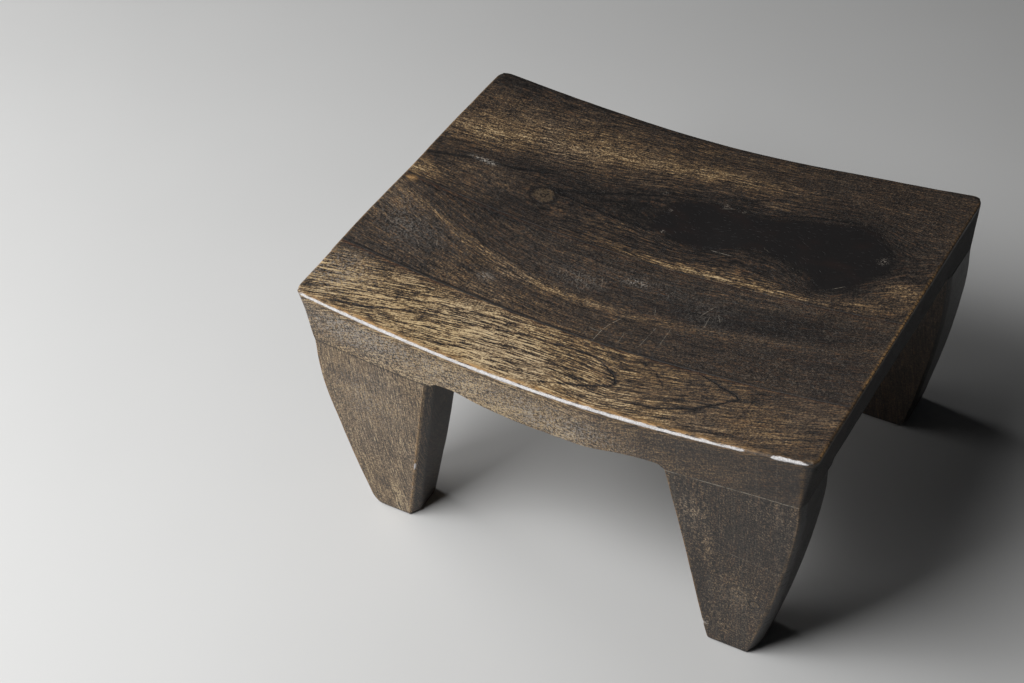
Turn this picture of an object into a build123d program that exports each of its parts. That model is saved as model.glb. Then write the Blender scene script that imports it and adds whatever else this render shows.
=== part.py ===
"""A low wooden stool: a hollowed seat of three glued boards on four corner legs.

Millimetres. The origin lies on the floor under the middle of the seat. +X runs along the
seat's length, +Y from the front long side to the rear one, +Z up.
As on the bench, the glued-up block is shaped first and its pieces are then taken from it
at the glue lines, so every joint face fits. A quarter is drawn and mirrored.
"""
from build123d import *
import os
from math import asin, degrees, radians, sin, sqrt

# Seat
seat_length = 400.0      # between the top corners of the short ends
seat_width = 296.5
seat_height = 210.0      # from the floor to the short ends
hollow_depth = 17.0      # dip of the seat at mid length
end_thickness = 42.5     # from the top of a short end down to the legs' glue face
end_undercut = 8.0       # how far the short ends lean in towards their lower edge
front_board_width = 60.5
middle_board_width = 87.5

# Underside
glue_face_rise = 9.7     # how much higher the legs' glue face is at the ends than at mid length
carve_depth = 3.2        # how far the underside is carved back round the legs
belly_depth = 5.8        # how far the middle of the underside is left proud of that
belly_to_leg = 27.0      # carved stretch between the belly and a leg
belly_blend = 60.0       # radius of the hollow where the belly runs out

# Legs
leg_top_width = 97.0
foot_width = 32.0
leg_thickness = 48.0
foot_thickness = 44.0
taper_height = 75.0      # below this the leg thins towards the foot
leg_upright = 17.5       # upright stretch of the outer face, down to where it curves in
shoulder_radius = 200.0
shoulder_turn = 8.5      # degrees that the shoulder curve turns
shin_radius = 700.0      # the flatter curve from the shoulder to the foot

# Eased edges
corner_radius = 7.0      # upright corners of the seat and the legs' outer corners under them
arris_chamfer = 4.5      # the legs' other upright edges
cove_radius = 5.5        # hollow between the legs and the underside
foot_rounding = 5.0
top_rounding = 3.0

# Dowels
dowel_diameter = 12.0
dowel_in_seat = 25.0
dowel_in_leg = 35.0
dowel_spacing = 42.0
dowel_chamfer = 1.5
dowel_glue_gap = 0.1     # all round the dowel
dowel_end_gap = 1.5      # left for glue at each end of its hole

# Places that follow from the sizes above
half_length = seat_length / 2
half_width = seat_width / 2
leg_outer = half_length - end_undercut
leg_back = half_width - leg_thickness
glue_face_end = seat_height - end_thickness
glue_face_middle = glue_face_end - glue_face_rise
shoulder_height = glue_face_end - leg_upright
margin = 20.0            # by which cutting shapes reach past the wood
blank_top = seat_height + margin / 2


def arc_height(x, middle, half_span, rise):
    """Height at x of a shallow arc, `middle` high at x = 0 and `rise` higher at half_span."""
    radius = (half_span**2 + rise**2) / (2 * rise)
    return middle + radius - sqrt(radius**2 - x**2)


def glue_face(x):
    """Height of the curved face on which the legs are glued."""
    return arc_height(x, glue_face_middle, leg_outer, glue_face_rise)


def end_face(z):
    """How far out the leaning short end lies at height z."""
    return half_length - end_undercut * (seat_height - z) / end_thickness


def underside(x):
    """Height of the carved underside between the legs."""
    return glue_face(x) + carve_depth


def arc_between(x1, x2, height):
    """The stretch from x1 to x2 of the arc whose height at x is height(x)."""
    points = [(x, height(x)) for x in (x1, (x1 + x2) / 2, x2)]
    return ThreePointArc(*points)


# Where the carved underside runs out through the leaning short end
end_lower = half_length
for _ in range(8):
    end_lower = end_face(underside(end_lower))

# The legs' outer outline: upright, then the shoulder curve, then the shin down to the floor
shoulder_drop = shoulder_radius * sin(radians(shoulder_turn))
shin_end_sine = sin(radians(shoulder_turn)) + (shoulder_height - shoulder_drop) / shin_radius
shin_turn = degrees(asin(shin_end_sine)) - shoulder_turn
shoulder = JernArc((leg_outer, shoulder_height), (0, -1), shoulder_radius, -shoulder_turn)
shin = JernArc(shoulder @ 1, shoulder % 1, shin_radius, -shin_turn)
foot_outer = (shin @ 1).X
foot_inner = foot_outer - foot_width
leg_inner = leg_outer - leg_top_width
belly_end = leg_inner - belly_to_leg
dowel_middle = (leg_outer + leg_inner) / 2


def seat_outline():
    """The right half of the seat's blank seen from the front, thick enough to be hollowed."""
    belly = ThreePointArc((-belly_end, underside(belly_end)), (0, underside(0) - belly_depth),
                          (belly_end, underside(belly_end)))
    carved = arc_between(belly_end, end_lower, underside)
    rim = Polyline(carved @ 1, (end_face(blank_top), blank_top), (0, blank_top), belly @ 0.5)
    face = make_face(belly.trim(0.5, 1) + carved + rim)
    run_out = face.vertices().sort_by_distance((belly_end, underside(belly_end), 0))[0]
    return fillet(run_out, belly_blend)


def leg_outline():
    """The right leg seen from the front, carried up past the underside into the seat."""
    lean = (leg_inner - foot_inner) / glue_face(leg_inner)
    root = seat_height - end_thickness / 2
    inner = Polyline((leg_inner + lean * (root - glue_face(leg_inner)), root), (foot_inner, 0),
                     (foot_outer, 0))
    outer = Polyline(shoulder @ 0, (leg_outer, glue_face_end), (end_face(root), root), inner @ 0)
    return make_face(inner + shin + shoulder + outer)


def seat_face(x):
    """Height of the hollowed seat."""
    return arc_height(x, seat_height - hollow_depth, half_length, hollow_depth)


def block_to_arc(x1, x2, height, level):
    """A block right across the stool, filling from a level plane to an arc above or below it."""
    arc = arc_between(x1, x2, height)
    sides = Polyline(arc @ 1, (x2, level), (x1, level), arc @ 0)
    return extrude(Plane.XZ * make_face(arc + sides), half_width + margin, both=True)


def thinning():
    """What comes off the inner side of a leg between taper_height and the floor."""
    start = (-leg_back, taper_height)
    end = (-leg_back - (leg_thickness - foot_thickness), 0)
    curve = TangentArc(start, end, tangent=(0, -1))
    sides = Polyline(curve @ 1, (0, 0), (0, taper_height), curve @ 0)
    return extrude(Plane.YZ * make_face(curve + sides), half_length)


def rising_edges(shape):
    """The long edges of a leg, which run more or less upright."""
    return [edge for edge in shape.edges() if abs(edge.tangent_at(0.5).Z) > 0.7]


def leg_column():
    """The front right leg, carried up into the seat, with all but its outer corner eased."""
    column = extrude(Plane.XZ.offset(leg_back) * leg_outline(), leg_thickness) - thinning()
    arrises = [edge for edge in rising_edges(column)
               if edge.center().Y > foot_thickness / 2 - half_width
               or edge.center().X < (foot_inner + foot_outer) / 2]
    return chamfer(arrises, arris_chamfer)


def quarter_block():
    """The front right quarter of the glued block, shaped but for its seat."""
    block = extrude(Plane.XZ * seat_outline(), half_width) + leg_column()
    corner = [edge for edge in rising_edges(block)
              if edge.center().Y < foot_thickness / 2 - half_width and edge.center().X > foot_outer]
    block = fillet(corner, corner_radius)
    cove = [edge for edge in block.edges() if abs(edge.tangent_at(0.5).Z) < 0.7
            and abs(edge.center().X - leg_inner) < arris_chamfer
            and -half_width < edge.center().Y < -leg_back]
    block = fillet(cove, cove_radius)
    sole = [edge for edge in block.edges() if edge.center().Z < 1e-3]
    return fillet(sole, foot_rounding)


def shaped_seat(quarter):
    """The whole seat from a quarter of its blank, hollowed and with its top edge rounded."""
    half = quarter + mirror(quarter, about=Plane.YZ)
    blank = half + mirror(half, about=Plane.XZ)
    reach = half_length + margin
    seat = blank - block_to_arc(-reach, reach, seat_face, blank_top + margin)
    top = max(seat.faces(), key=lambda face: face.area)
    return fillet(top.edges(), top_rounding)


def board(seat, front, rear):
    """The board of the seat between two glue lines, given by their y."""
    slab = Box(2 * seat_length, rear - front, 2 * seat_height)
    return seat & Pos(0, (front + rear) / 2, seat_height) * slab


def dowel(x, y):
    """A dowel across the glue face at (x, y), with its ends chamfered."""
    rod = Cylinder(dowel_diameter / 2, dowel_in_leg + dowel_in_seat)
    rod = chamfer(rod.edges().filter_by(GeomType.CIRCLE), dowel_chamfer)
    return Pos(x, y, glue_face(x) + (dowel_in_seat - dowel_in_leg) / 2) * rod


def dowel_hole(x, y):
    """The hole for that dowel, with room for glue all round it and at both ends."""
    depth = dowel_in_leg + dowel_in_seat + 2 * dowel_end_gap
    bore = Cylinder(dowel_diameter / 2 + dowel_glue_gap, depth)
    return Pos(x, y, glue_face(x) + (dowel_in_seat - dowel_in_leg) / 2) * bore


def pieces():
    """Every piece of the stool by name."""
    block = quarter_block()
    under = block_to_arc((belly_end + leg_inner) / 2, half_length + margin, glue_face, -margin)
    leg = block & under
    seat = shaped_seat(block - under)
    dowel_y = half_width - leg_thickness / 2

    found = {}
    for row, side_y in (("front", -1), ("rear", 1)):
        for hand, side_x in (("left", -1), ("right", 1)):
            corner_leg = leg if side_x > 0 else mirror(leg, about=Plane.YZ)
            corner_leg = corner_leg if side_y < 0 else mirror(corner_leg, about=Plane.XZ)
            for place, step in (("inner", -0.5), ("outer", 0.5)):
                x = side_x * (dowel_middle + step * dowel_spacing)
                y = side_y * dowel_y
                found[f"{row}_{hand}_{place}_dowel"] = dowel(x, y)
                corner_leg -= dowel_hole(x, y)
                seat -= dowel_hole(x, y)
            found[f"{row}_{hand}_leg"] = corner_leg

    front_line = front_board_width - half_width
    middle_line = front_line + middle_board_width
    found["front_seat_board"] = board(seat, -half_width - margin, front_line)
    found["middle_seat_board"] = board(seat, front_line, middle_line)
    found["rear_seat_board"] = board(seat, middle_line, half_width + margin)
    return found


if __name__ == "__main__":
    os.makedirs("parts", exist_ok=True)
    for name, piece in pieces().items():
        export_step(piece, f"parts/{name}.step")
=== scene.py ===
"""Low stool of dark stained wood: a hollowed seat of three glued boards on four corner legs.

Lengths are millimetres until a mesh is made. +X runs along the seat, +Y to its rear side, +Z up.
"""

from math import cos, radians, sin

import bpy
import numpy as np
from mathutils import Matrix, Vector, noise


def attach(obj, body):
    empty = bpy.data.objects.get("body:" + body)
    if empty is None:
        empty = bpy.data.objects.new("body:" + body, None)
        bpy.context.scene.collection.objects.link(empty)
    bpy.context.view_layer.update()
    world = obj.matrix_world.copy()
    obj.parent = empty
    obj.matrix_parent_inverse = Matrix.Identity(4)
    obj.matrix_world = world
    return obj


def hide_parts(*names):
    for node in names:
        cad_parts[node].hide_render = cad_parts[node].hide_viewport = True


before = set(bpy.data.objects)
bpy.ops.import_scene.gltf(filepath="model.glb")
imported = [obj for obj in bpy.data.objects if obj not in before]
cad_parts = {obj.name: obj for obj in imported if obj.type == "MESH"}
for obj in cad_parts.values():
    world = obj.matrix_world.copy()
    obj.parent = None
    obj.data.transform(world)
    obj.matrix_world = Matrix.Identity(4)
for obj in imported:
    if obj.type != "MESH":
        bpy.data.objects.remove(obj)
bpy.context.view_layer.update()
MM = 0.001

# ---- sizes of the stool

HALF_LENGTH = 200.0
HALF_WIDTH = 148.25
SEAT_HEIGHT = 210.0
HOLLOW = 17.0            # dip of the seat at mid length
END_THICKNESS = 42.5
END_UNDERCUT = 8.0       # how far the short ends lean in by the glue face
GLUE_MIDDLE = 157.8      # height of the legs' glue face at mid length
GLUE_RISE = 9.7
CARVE = 3.2              # how far the underside is carved back beside the legs
BELLY = 5.8
BELLY_END = 68.0
LEG_INNER = 95.0         # the legs' inner edge at the joint
LEG_BACK = 101.7
COVE = 5.5
CORNER_RATIO = 0.42      # depth of a corner's chamfer to its width
FRONT_LINE = -87.75      # glue lines between the boards
REAR_LINE = -0.25

# What handwork made of each corner, by (left or right, near or far): the lean of the end there,
# the inner edge of the pad over the leg, and the corner's (dx, dy, height)
REAL_UNDERCUT = {(-1, -1): 11.5, (1, -1): 7.0, (1, 1): 3.6, (-1, 1): 8.0}
PAD_INNER = {(-1, -1): 88.5, (1, -1): 92.8, (1, 1): 94.6, (-1, 1): 94.6}
CORNERS = {
    (-1, -1): (1.0, -2.9, 208.6),
    (1, -1): (-1.3, 3.9, 211.1),
    (1, 1): (0.9, 1.5, 212.8),
    (-1, 1): (-2.1, -2.2, 210.3),
}


def smooth(value, low=0.0, high=1.0):
    """0 below low, 1 above high and a soft step between them."""
    t = np.clip((value - low) / (high - low), 0, 1)
    return t * t * (3 - 2 * t)


def hump(value, centre, half_width):
    """1 at the centre, falling away softly on both sides of it."""
    return np.exp(-(((value - centre) / half_width) ** 2))


def undercut(x, y):
    """How far the short end leans in by the glue face, which differs from corner to corner."""
    part = np.clip(y / HALF_WIDTH, -1, 1) / 2 + 0.5
    left = REAL_UNDERCUT[-1, -1] + (REAL_UNDERCUT[-1, 1] - REAL_UNDERCUT[-1, -1]) * part
    right = REAL_UNDERCUT[1, -1] + (REAL_UNDERCUT[1, 1] - REAL_UNDERCUT[1, -1]) * part
    return np.where(x < 0, left, right)


def arc(x, middle, span, rise):
    """Height of a shallow arc, `rise` higher at `span` than in the middle."""
    radius = (span**2 + rise**2) / (2 * rise)
    return middle + radius - np.sqrt(radius**2 - np.clip(x, -span * 1.2, span * 1.2) ** 2)


def seat_arc(x):
    return arc(x, SEAT_HEIGHT - HOLLOW, HALF_LENGTH, HOLLOW)


def glue_arc(x):
    return arc(x, GLUE_MIDDLE, HALF_LENGTH - END_UNDERCUT, GLUE_RISE)


def belly(x):
    """How far the middle of the underside stands proud of the carved stretches beside the legs."""
    return BELLY * (1 - smooth(np.abs(x), BELLY_END * 0.12, BELLY_END * 1.28))


def underside(x, y):
    """The seat's underside: glued pads over the legs, coves round them, the belly between."""
    pad_inner = np.where(y < 0, np.where(x < 0, PAD_INNER[-1, -1], PAD_INNER[1, -1]),
                         np.where(x < 0, PAD_INNER[-1, 1], PAD_INNER[1, 1]))
    past_inner = pad_inner - np.abs(x)
    past_back = (LEG_BACK - np.abs(y)) * 3
    past_corner = (past_inner + past_back / 3 + 4.5) * 0.707
    past = np.maximum(np.maximum(past_inner, past_back), past_corner)
    into = np.clip(COVE - 0.5 - past, 0, COVE)
    rise = CARVE - (COVE - np.sqrt(COVE**2 - into**2))
    rise = np.where(past < 0, 0, np.maximum(rise, 0))
    uneven_carving = 2.3 * hump(x, -70, 14) - 1.5 * hump(x, 38, 17)
    return glue_arc(x) + rise - belly(x) + uneven_carving * (0.3 + 0.7 * smooth(-y, -60, 120))


def rounded(inset, depth, radius):
    """Carries points near an edge of a block, this far in and this far down, onto its rounding."""
    near = (inset < radius) & (depth < radius)
    a, b = inset - radius, depth - radius
    reach = np.maximum(np.abs(a), np.abs(b))
    scale = np.where(near, reach / np.maximum(np.hypot(a, b), 1e-9), 1)
    return np.where(near, radius + a * scale, inset), np.where(near, radius + b * scale, depth)


def in_plan(x, y, half_x, half_y, radius, power, inset):
    """Rounds or chamfers the corners of an oblong; `inset` gives each point its new inset."""
    dx, dy = half_x - np.abs(x), half_y - np.abs(y)
    side_x = dx <= dy
    out_x = np.where(side_x, half_x - inset, np.abs(x))
    out_y = np.where(side_x, np.abs(y), half_y - inset)
    i, j = radius - dx, radius - dy
    corner = (i > 0) & (j > 0)
    i, j = np.maximum(i, 1e-9), np.maximum(j, 1e-9)
    scale = np.maximum(radius - inset, 1e-9) / np.maximum(i, j)
    i, j = i * scale, j * scale
    bend = np.maximum(i, j) / (i**power + j**power) ** (1 / power)
    out_x = np.where(corner, half_x - radius + i * bend, out_x)
    out_y = np.where(corner, half_y - radius + j * bend, out_y)
    return np.copysign(out_x, x), np.copysign(out_y, y)


def spread(index, count, length, low, high):
    """Distance along a side of this length of each division, close together at the ends."""
    index = np.asarray(index)
    low, high = np.asarray(low, float), np.asarray(high, float)
    part = (index - len(low) + 1) / (count - len(low) - len(high) + 1)
    middle = low[-1] + (length - high[-1] - low[-1]) * part
    at_low = low[np.clip(index, 0, len(low) - 1)]
    at_high = length - high[np.clip(count - 1 - index, 0, len(high) - 1)]
    return np.where(index < len(low), at_low, np.where(index >= count - len(high), at_high, middle))


def shell(nx, ny, nz):
    """Indices of the outer vertices of a block of nx by ny by nz vertices, and its square faces."""
    i, j, k = np.meshgrid(np.arange(nx), np.arange(ny), np.arange(nz), indexing="ij")
    skin = (i == 0) | (i == nx - 1) | (j == 0) | (j == ny - 1) | (k == 0) | (k == nz - 1)
    number = np.full(skin.shape, -1)
    number[skin] = np.arange(skin.sum())
    faces = []
    for axis in range(3):
        for end in (0, -1):
            sheet = np.take(number, end, axis=axis)
            quads = [sheet[:-1, :-1], sheet[1:, :-1], sheet[1:, 1:], sheet[:-1, 1:]]
            outward = (end == -1) != (axis == 1)
            quads = quads if outward else quads[::-1]
            faces.append(np.stack(quads, -1).reshape(-1, 4))
    return i[skin], j[skin], k[skin], np.concatenate(faces)


def between(x, values):
    """Straight interpolation from the left value to the right one."""
    return values[0] + (values[1] - values[0]) * (x / HALF_LENGTH + 1) / 2


def dip(x, sag, flatter):
    """How far a long edge sags at x, with its curve a little flatter or fuller than an arc's."""
    part = np.minimum((x / HALF_LENGTH) ** 2, 1.2)
    return (1 - part) * (sag + flatter * part)


def seat_level(x, y):
    """Height of the seat as it came out of the hand: the near side sags more than the far one."""
    near = between(x, (CORNERS[-1, -1][2], CORNERS[1, -1][2])) - dip(x, 19.0, -3.3)
    far = between(x, (CORNERS[-1, 1][2], CORNERS[1, 1][2])) - dip(x, 15.2, -3.0)
    far = far + 1.5 * hump(x, 95, 55)
    return near + (far - near) * np.clip(y / HALF_WIDTH + 1, -0.05, 2.05) / 2


def hand_made(points):
    """Takes a point of the regular stool to where handwork and wear left it."""
    x, y, z = points.T
    ratio = seat_level(x, y) / seat_arc(x)
    near = between(x, (CORNERS[-1, -1][1], CORNERS[1, -1][1]))
    far = between(x, (CORNERS[-1, 1][1], CORNERS[1, 1][1]))
    shift_y = np.where(y < FRONT_LINE, near * (FRONT_LINE - y) / (HALF_WIDTH + FRONT_LINE),
                       np.where(y > 0, far * y / HALF_WIDTH, 0))
    part = (y / HALF_WIDTH + 1) / 2
    left = CORNERS[-1, -1][0] + (CORNERS[-1, 1][0] - CORNERS[-1, -1][0]) * part
    right = CORNERS[1, -1][0] + (CORNERS[1, 1][0] - CORNERS[1, -1][0]) * part
    shift_x = np.where(x < 0, left * -x, right * x) / HALF_LENGTH
    # The short ends bow: the left one out, the right one in
    bow = np.where(x < 0, -1.2, -0.9)
    shift_x += (1 - (y / HALF_WIDTH) ** 2) * smooth(np.abs(x), 120, 200) * bow
    return np.stack([x + shift_x, y + shift_y, z * ratio], -1)


# Without its seed this noise follows the clock, and no two runs would give the same surfaces
DRIFT_SEED = 1795512629


def uneven(points):
    """A slow drift of every surface but the soles, as left by a hand plane and years of use."""
    noise.seed_set(DRIFT_SEED)
    drift = np.zeros(points.shape)
    for amount, size, seed in ((0.5, 65.0, 3.1), (0.12, 13.0, 8.7)):
        drift += amount * np.array([noise.noise_vector(Vector(place))
                                    for place in points / size + [seed, 0, 0]])
    return points + drift * smooth(points[:, 2], 2.0, 14.0)[:, None]


def make_mesh(name, points, faces, fields):
    mesh = bpy.data.meshes.new(name)
    mesh.from_pydata((points * MM).tolist(), [], faces.tolist())
    for key, values in fields.items():
        mesh.attributes.new(key, "FLOAT", "POINT").data.foreach_set(
            "value", np.asarray(values, np.float32))
    mesh.polygons.foreach_set("use_smooth", np.ones(len(faces), bool))
    mesh.set_sharp_from_angle(angle=radians(40))
    mesh.update()
    piece = bpy.data.objects.new(name, mesh)
    bpy.context.scene.collection.objects.link(piece)
    return piece


# ---- the figure of the wood

def figure(x, y, guides):
    """How far across the grain a point lies, from lines that the grain follows: [(level, line)]."""
    levels = [level for level, _ in guides]
    heights = [np.interp(x, *zip(*line)) for _, line in guides]
    across = levels[0] + np.minimum(y - heights[0], 0)
    for low, high, under, over in zip(levels, levels[1:], heights, heights[1:]):
        part = np.clip((y - under) / (over - under), 0, 1)
        across = across + part * (high - low)
    return across + np.maximum(y - heights[-1], 0)


REAR_GRAIN = [
    (0, [(-200, 0), (200, 0)]),
    (7, [(-200, 11), (-150, 10), (-100, 6), (-60, 5), (-20, 6), (20, 5), (60, 7), (100, 9),
         (140, 9), (170, 14), (200, 20)]),
    (16, [(-200, 21), (-150, 22), (-100, 15), (-60, 19), (-20, 22), (20, 19), (60, 26), (100, 20),
          (140, 13), (170, 28), (200, 40)]),
    (24, [(-200, 27), (-150, 37), (-100, 41), (-60, 37), (-20, 35), (20, 30), (60, 44), (90, 42),
          (125, 17), (160, 38), (178, 55), (200, 62)]),
    (32, [(-200, 30), (-150, 46), (-100, 59), (-60, 60), (-20, 75), (20, 82), (60, 80), (100, 91),
          (140, 92), (165, 76), (180, 70), (200, 72)]),
    (46, [(-200, 55), (-150, 63), (-100, 73), (-60, 83), (-20, 95), (20, 100), (60, 102),
          (100, 108), (140, 108), (170, 100), (200, 92)]),
    (62, [(-200, 76), (-150, 86), (-100, 97), (-60, 106), (-20, 113), (20, 118), (60, 121),
          (100, 124), (140, 123), (170, 117), (200, 108)]),
    (80, [(-200, 102), (-150, 113), (-100, 122), (-60, 128), (-20, 131), (20, 134), (60, 136),
          (100, 137), (140, 137), (170, 134), (200, 128)]),
    (98, [(-200, 150), (200, 150)]),
]
MIDDLE_GRAIN = [
    (-16, [(-200, -104), (-100, -108), (0, -110), (100, -106), (200, -100)]),
    (4, [(-200, -76), (-150, -82), (-100, -88), (0, -92), (100, -86), (150, -82), (200, -78)]),
    (24, [(-200, -42), (-150, -54), (-100, -65), (-60, -70), (-20, -73), (20, -73), (60, -69),
          (100, -64), (150, -60), (200, -55)]),
    (44, [(-200, -12), (-160, -23), (-130, -37), (-100, -46), (-60, -53), (-20, -57), (23, -57),
          (53, -53), (91, -47), (131, -42), (200, -33)]),
    (64, [(-200, 6), (-150, -12), (-100, -26), (-60, -33), (-20, -37), (20, -36), (60, -32),
          (100, -26), (150, -20), (200, -14)]),
    (84, [(-200, 24), (-150, 8), (-100, -4), (-60, -8), (-20, -9), (20, -8), (60, -4), (100, -2),
          (150, 0), (200, 4)]),
]
FRONT_AXIS = [(-200, -159), (-140, -138), (-100, -127), (-60, -120), (0, -116), (42, -118),
              (200, -83)]


def spots(x, across, places):
    """Sum of soft spots (x, across, half length, half width, amount)."""
    total = np.zeros_like(x)
    for px, pa, rx, ra, amount in places:
        total += amount * hump(x, px, rx) * hump(across, pa, ra)
    return total


def to_lines(x, y, lines, reach):
    """Signed distance to the nearest of several drawn lines, and how strong it is there."""
    nearest = np.full(x.shape, 99.0)
    strength = np.zeros(x.shape)
    for amount, line in lines:
        for (x1, y1), (x2, y2) in zip(line, line[1:]):
            length = np.hypot(x2 - x1, y2 - y1)
            ux, uy = (x2 - x1) / length, (y2 - y1) / length
            run = (x - x1) * ux + (y - y1) * uy
            side = (y - y1) * ux - (x - x1) * uy
            over = np.maximum(np.maximum(-run, run - length), 0)
            distance = np.hypot(side, over)
            closer = distance < np.abs(nearest)
            nearest = np.where(closer, np.copysign(distance, side), nearest)
            strength = np.where(closer & (distance < reach), amount, strength)
    strength = np.where(np.abs(nearest) < reach, strength, 0)
    return nearest, strength


def to_outline(x, y, outline):
    """Signed distance to a closed outline, negative inside."""
    distance = np.full(x.shape, 999.0)
    inside = np.zeros(x.shape, bool)
    for (x1, y1), (x2, y2) in zip(outline, outline[1:] + outline[:1]):
        length = np.hypot(x2 - x1, y2 - y1)
        run = np.clip(((x - x1) * (x2 - x1) + (y - y1) * (y2 - y1)) / length**2, 0, 1)
        away = np.hypot(x - x1 - run * (x2 - x1), y - y1 - run * (y2 - y1))
        distance = np.minimum(distance, away)
        crosses = (y1 > y) != (y2 > y)
        with np.errstate(divide="ignore", invalid="ignore"):
            at = x1 + (y - y1) * (x2 - x1) / (y2 - y1)
        inside ^= crosses & (x < at)
    return np.where(inside, -distance, distance)


BIG_KNOT = [(-12, 40), (-10, 70), (2, 78), (20, 82), (42, 81), (60, 80), (80, 85), (110, 92),
            (130, 95), (145, 90), (155, 77), (164, 66), (166, 56), (163, 46), (156, 38), (150, 28),
            (138, 20), (125, 17), (121, 24), (118, 32), (105, 38), (90, 42), (75, 46), (60, 44),
            (45, 32), (30, 30), (10, 33)]

FRONT_LINES = [
    (0.55, [(-198, -138), (-182, -135), (-150, -124), (-120, -113), (-96, -107), (-74, -102),
            (-42, -98)]),
    (0.9, [(-171, -145), (-146, -137), (-131, -130), (-112, -122), (-88, -116), (-63, -111),
           (-35, -105), (3, -102), (19, -102), (31, -108), (40, -114), (44, -119), (42, -123),
           (27, -130), (-4, -140)]),
    (0.35, [(-163, -118), (-128, -104), (-89, -93)]),
    (0.5, [(-57, -124), (-38, -120), (-18, -118)]),
    (0.4, [(-58, -100), (-42, -98)]),
    (0.4, [(49, -93), (64, -99), (74, -109)]),
    (0.8, [(93, -89), (108, -94), (122, -99), (126, -102), (118, -109), (104, -120), (82, -129),
           (64, -132)]),
    (0.3, [(136, -95), (134, -118)]),
    (0.35, [(77, -147), (118, -138), (145, -134), (172, -126), (199, -118)]),
]
REAR_LINES = [
    (0.8, [(-200, 28), (-165, 42), (-130, 50), (-110, 56)]),
    (0.7, [(-100, 42), (-72, 50), (-50, 62), (-20, 75)]),
    (0.7, [(-100, 42), (-60, 38), (-20, 35), (-8, 35)]),
    (0.4, [(60, 84), (88, 94), (126, 99)]),
    (0.3, [(-20, 78), (40, 96), (62, 105)]),
]
MIDDLE_LINES = [
    (0.5, [(-199, -4), (-150, -4), (-100, -5)]),
    (0.3, [(-60, -12), (0, -14), (60, -9), (110, -4)]),
]
SCRATCHES = [
    (0.8, [(16, -61), (12, -69), (10, -76), (9, -88)]),
    (0.5, [(3, -78), (8, -78)]),
    (0.45, [(26, -74), (26, -82)]),
    (0.5, [(43, -60), (41, -80)]),
    (0.4, [(53, -57), (53, -72)]),
    (0.6, [(71, -22), (66, -34)]),
    (0.5, [(77, -31), (80, -35)]),
    (0.5, [(72, -35), (73, -46)]),
    (0.5, [(34, -42), (36, -47)]),
    (0.5, [(-33, -30), (-31, -36)]),
    (0.5, [(-24, -36), (-22, -41)]),
    (0.5, [(-15, -29), (-12, -36)]),
    (0.4, [(-28, -44), (-25, -47)]),
    (0.5, [(-153, -59), (-149, -63)]),
    (0.5, [(-140, -52), (-138, -56)]),
    (0.9, [(43, 32), (55, 32)]),
    (0.4, [(76, 48), (78, 47)]),
    (0.8, [(139, 24), (143, 27)]),
    (0.7, [(28, 80), (33, 82)]),
]


# Paler and darker places of each board: (x, y, half length, half width, amount). The bands are
# given across the grain in place of y
# The front board's tone along its length, paler to the left: partly the wood, partly a painted
# sheen of the light from the left
FRONT_TONE_AND_SHEEN_ALONG = [(-200, 0.66), (-150, 0.72), (-90, 0.78), (-30, 0.82), (20, 0.70), (60, 0.55),
                    (100, 0.47), (150, 0.46), (200, 0.42)]
FRONT_TONES = [
    (-60, -138, 60, 9, 0.1), (-40, -115, 40, 6, 0.12), (150, -92, 14, 5, -0.1),
    (131, -91, 12, 4, -0.08), (70, -138, 50, 7, 0.16), (189, -104, 8, 4, 0.14),
    (165, -127, 14, 4, 0.12), (180, -138, 26, 10, -0.08), (-190, -100, 16, 14, -0.08),
    (0, -97, 40, 6, -0.16), (-170, -95, 30, 7, -0.12), (10, -112, 24, 8, -0.08),
    (-60, -95, 30, 4, 0.06), (-165, -122, 34, 10, 0.1), (-90, -110, 26, 9, 0.07),
    (-92, -132, 22, 6, 0.07), (-25, -132, 40, 9, -0.08), (5, -118, 30, 8, -0.05),
    (-180, -91, 40, 5, -0.14), (-125, -92, 40, 3, -0.2), (120, -108, 30, 6, 0.05),
    (-90, -130, 24, 11, 0.11), (-145, -117, 26, 7, 0.09), (-66, -117, 18, 5, 0.08),
    (20, -128, 20, 5, 0.1), (90, -128, 14, 5, 0.12), (155, -124, 46, 13, 0.09),
    (-160, -130, 26, 6, 0.07), (-130, -104, 12, 5, 0.08), (-170, -104, 14, 5, -0.06),
    (12, -140, 22, 3, -0.1), (-40, -92, 30, 4, -0.05), (70, -117, 9, 5, -0.08),
    (150, -112, 60, 20, -0.03),
]
MIDDLE_BANDS = [
    (-60, 44, 110, 6, 0.2), (60, 45, 70, 5, 0.14), (180, 45, 50, 6, 0.08),
    (-60, 14, 90, 14, 0.12), (-120, 12, 40, 9, 0.08), (60, 26, 70, 8, -0.02),
    (100, 60, 60, 10, -0.08), (180, 20, 30, 12, -0.06), (-20, 62, 40, 10, 0.02),
    (140, 76, 60, 7, 0.03), (130, 44, 60, 3, 0.07), (140, 34, 50, 3, -0.05),
    (150, 54, 40, 3, -0.05), (170, 22, 30, 3, 0.05),
]
MIDDLE_TONES = [
    (-110, -17, 24, 12, -0.08), (-192, -45, 26, 30, 0.1), (90, -10, 32, 3, 0.1),
    (130, -16, 40, 9, -0.08), (138, -60, 14, 2, 0.08), (182, -31, 10, 6, 0.05),
    (100, -35, 50, 10, -0.06), (-68, -55, 34, 5, 0.12), (-20, -57, 30, 4, 0.05),
    (-160, -62, 30, 10, -0.08), (-30, -30, 50, 12, -0.03), (10, -58, 20, 5, -0.07),
    (-190, -10, 10, 6, 0.06), (-162, -46, 26, 9, -0.1), (70, -40, 18, 12, -0.08),
    (-35, -44, 30, 5, -0.07), (50, -56, 30, 6, -0.06), (182, -82, 16, 9, -0.08),
    (165, -34, 26, 8, -0.08), (100, -16, 50, 6, -0.03), (150, -46, 60, 24, -0.06),
    (40, -34, 60, 12, -0.04),
]
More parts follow.
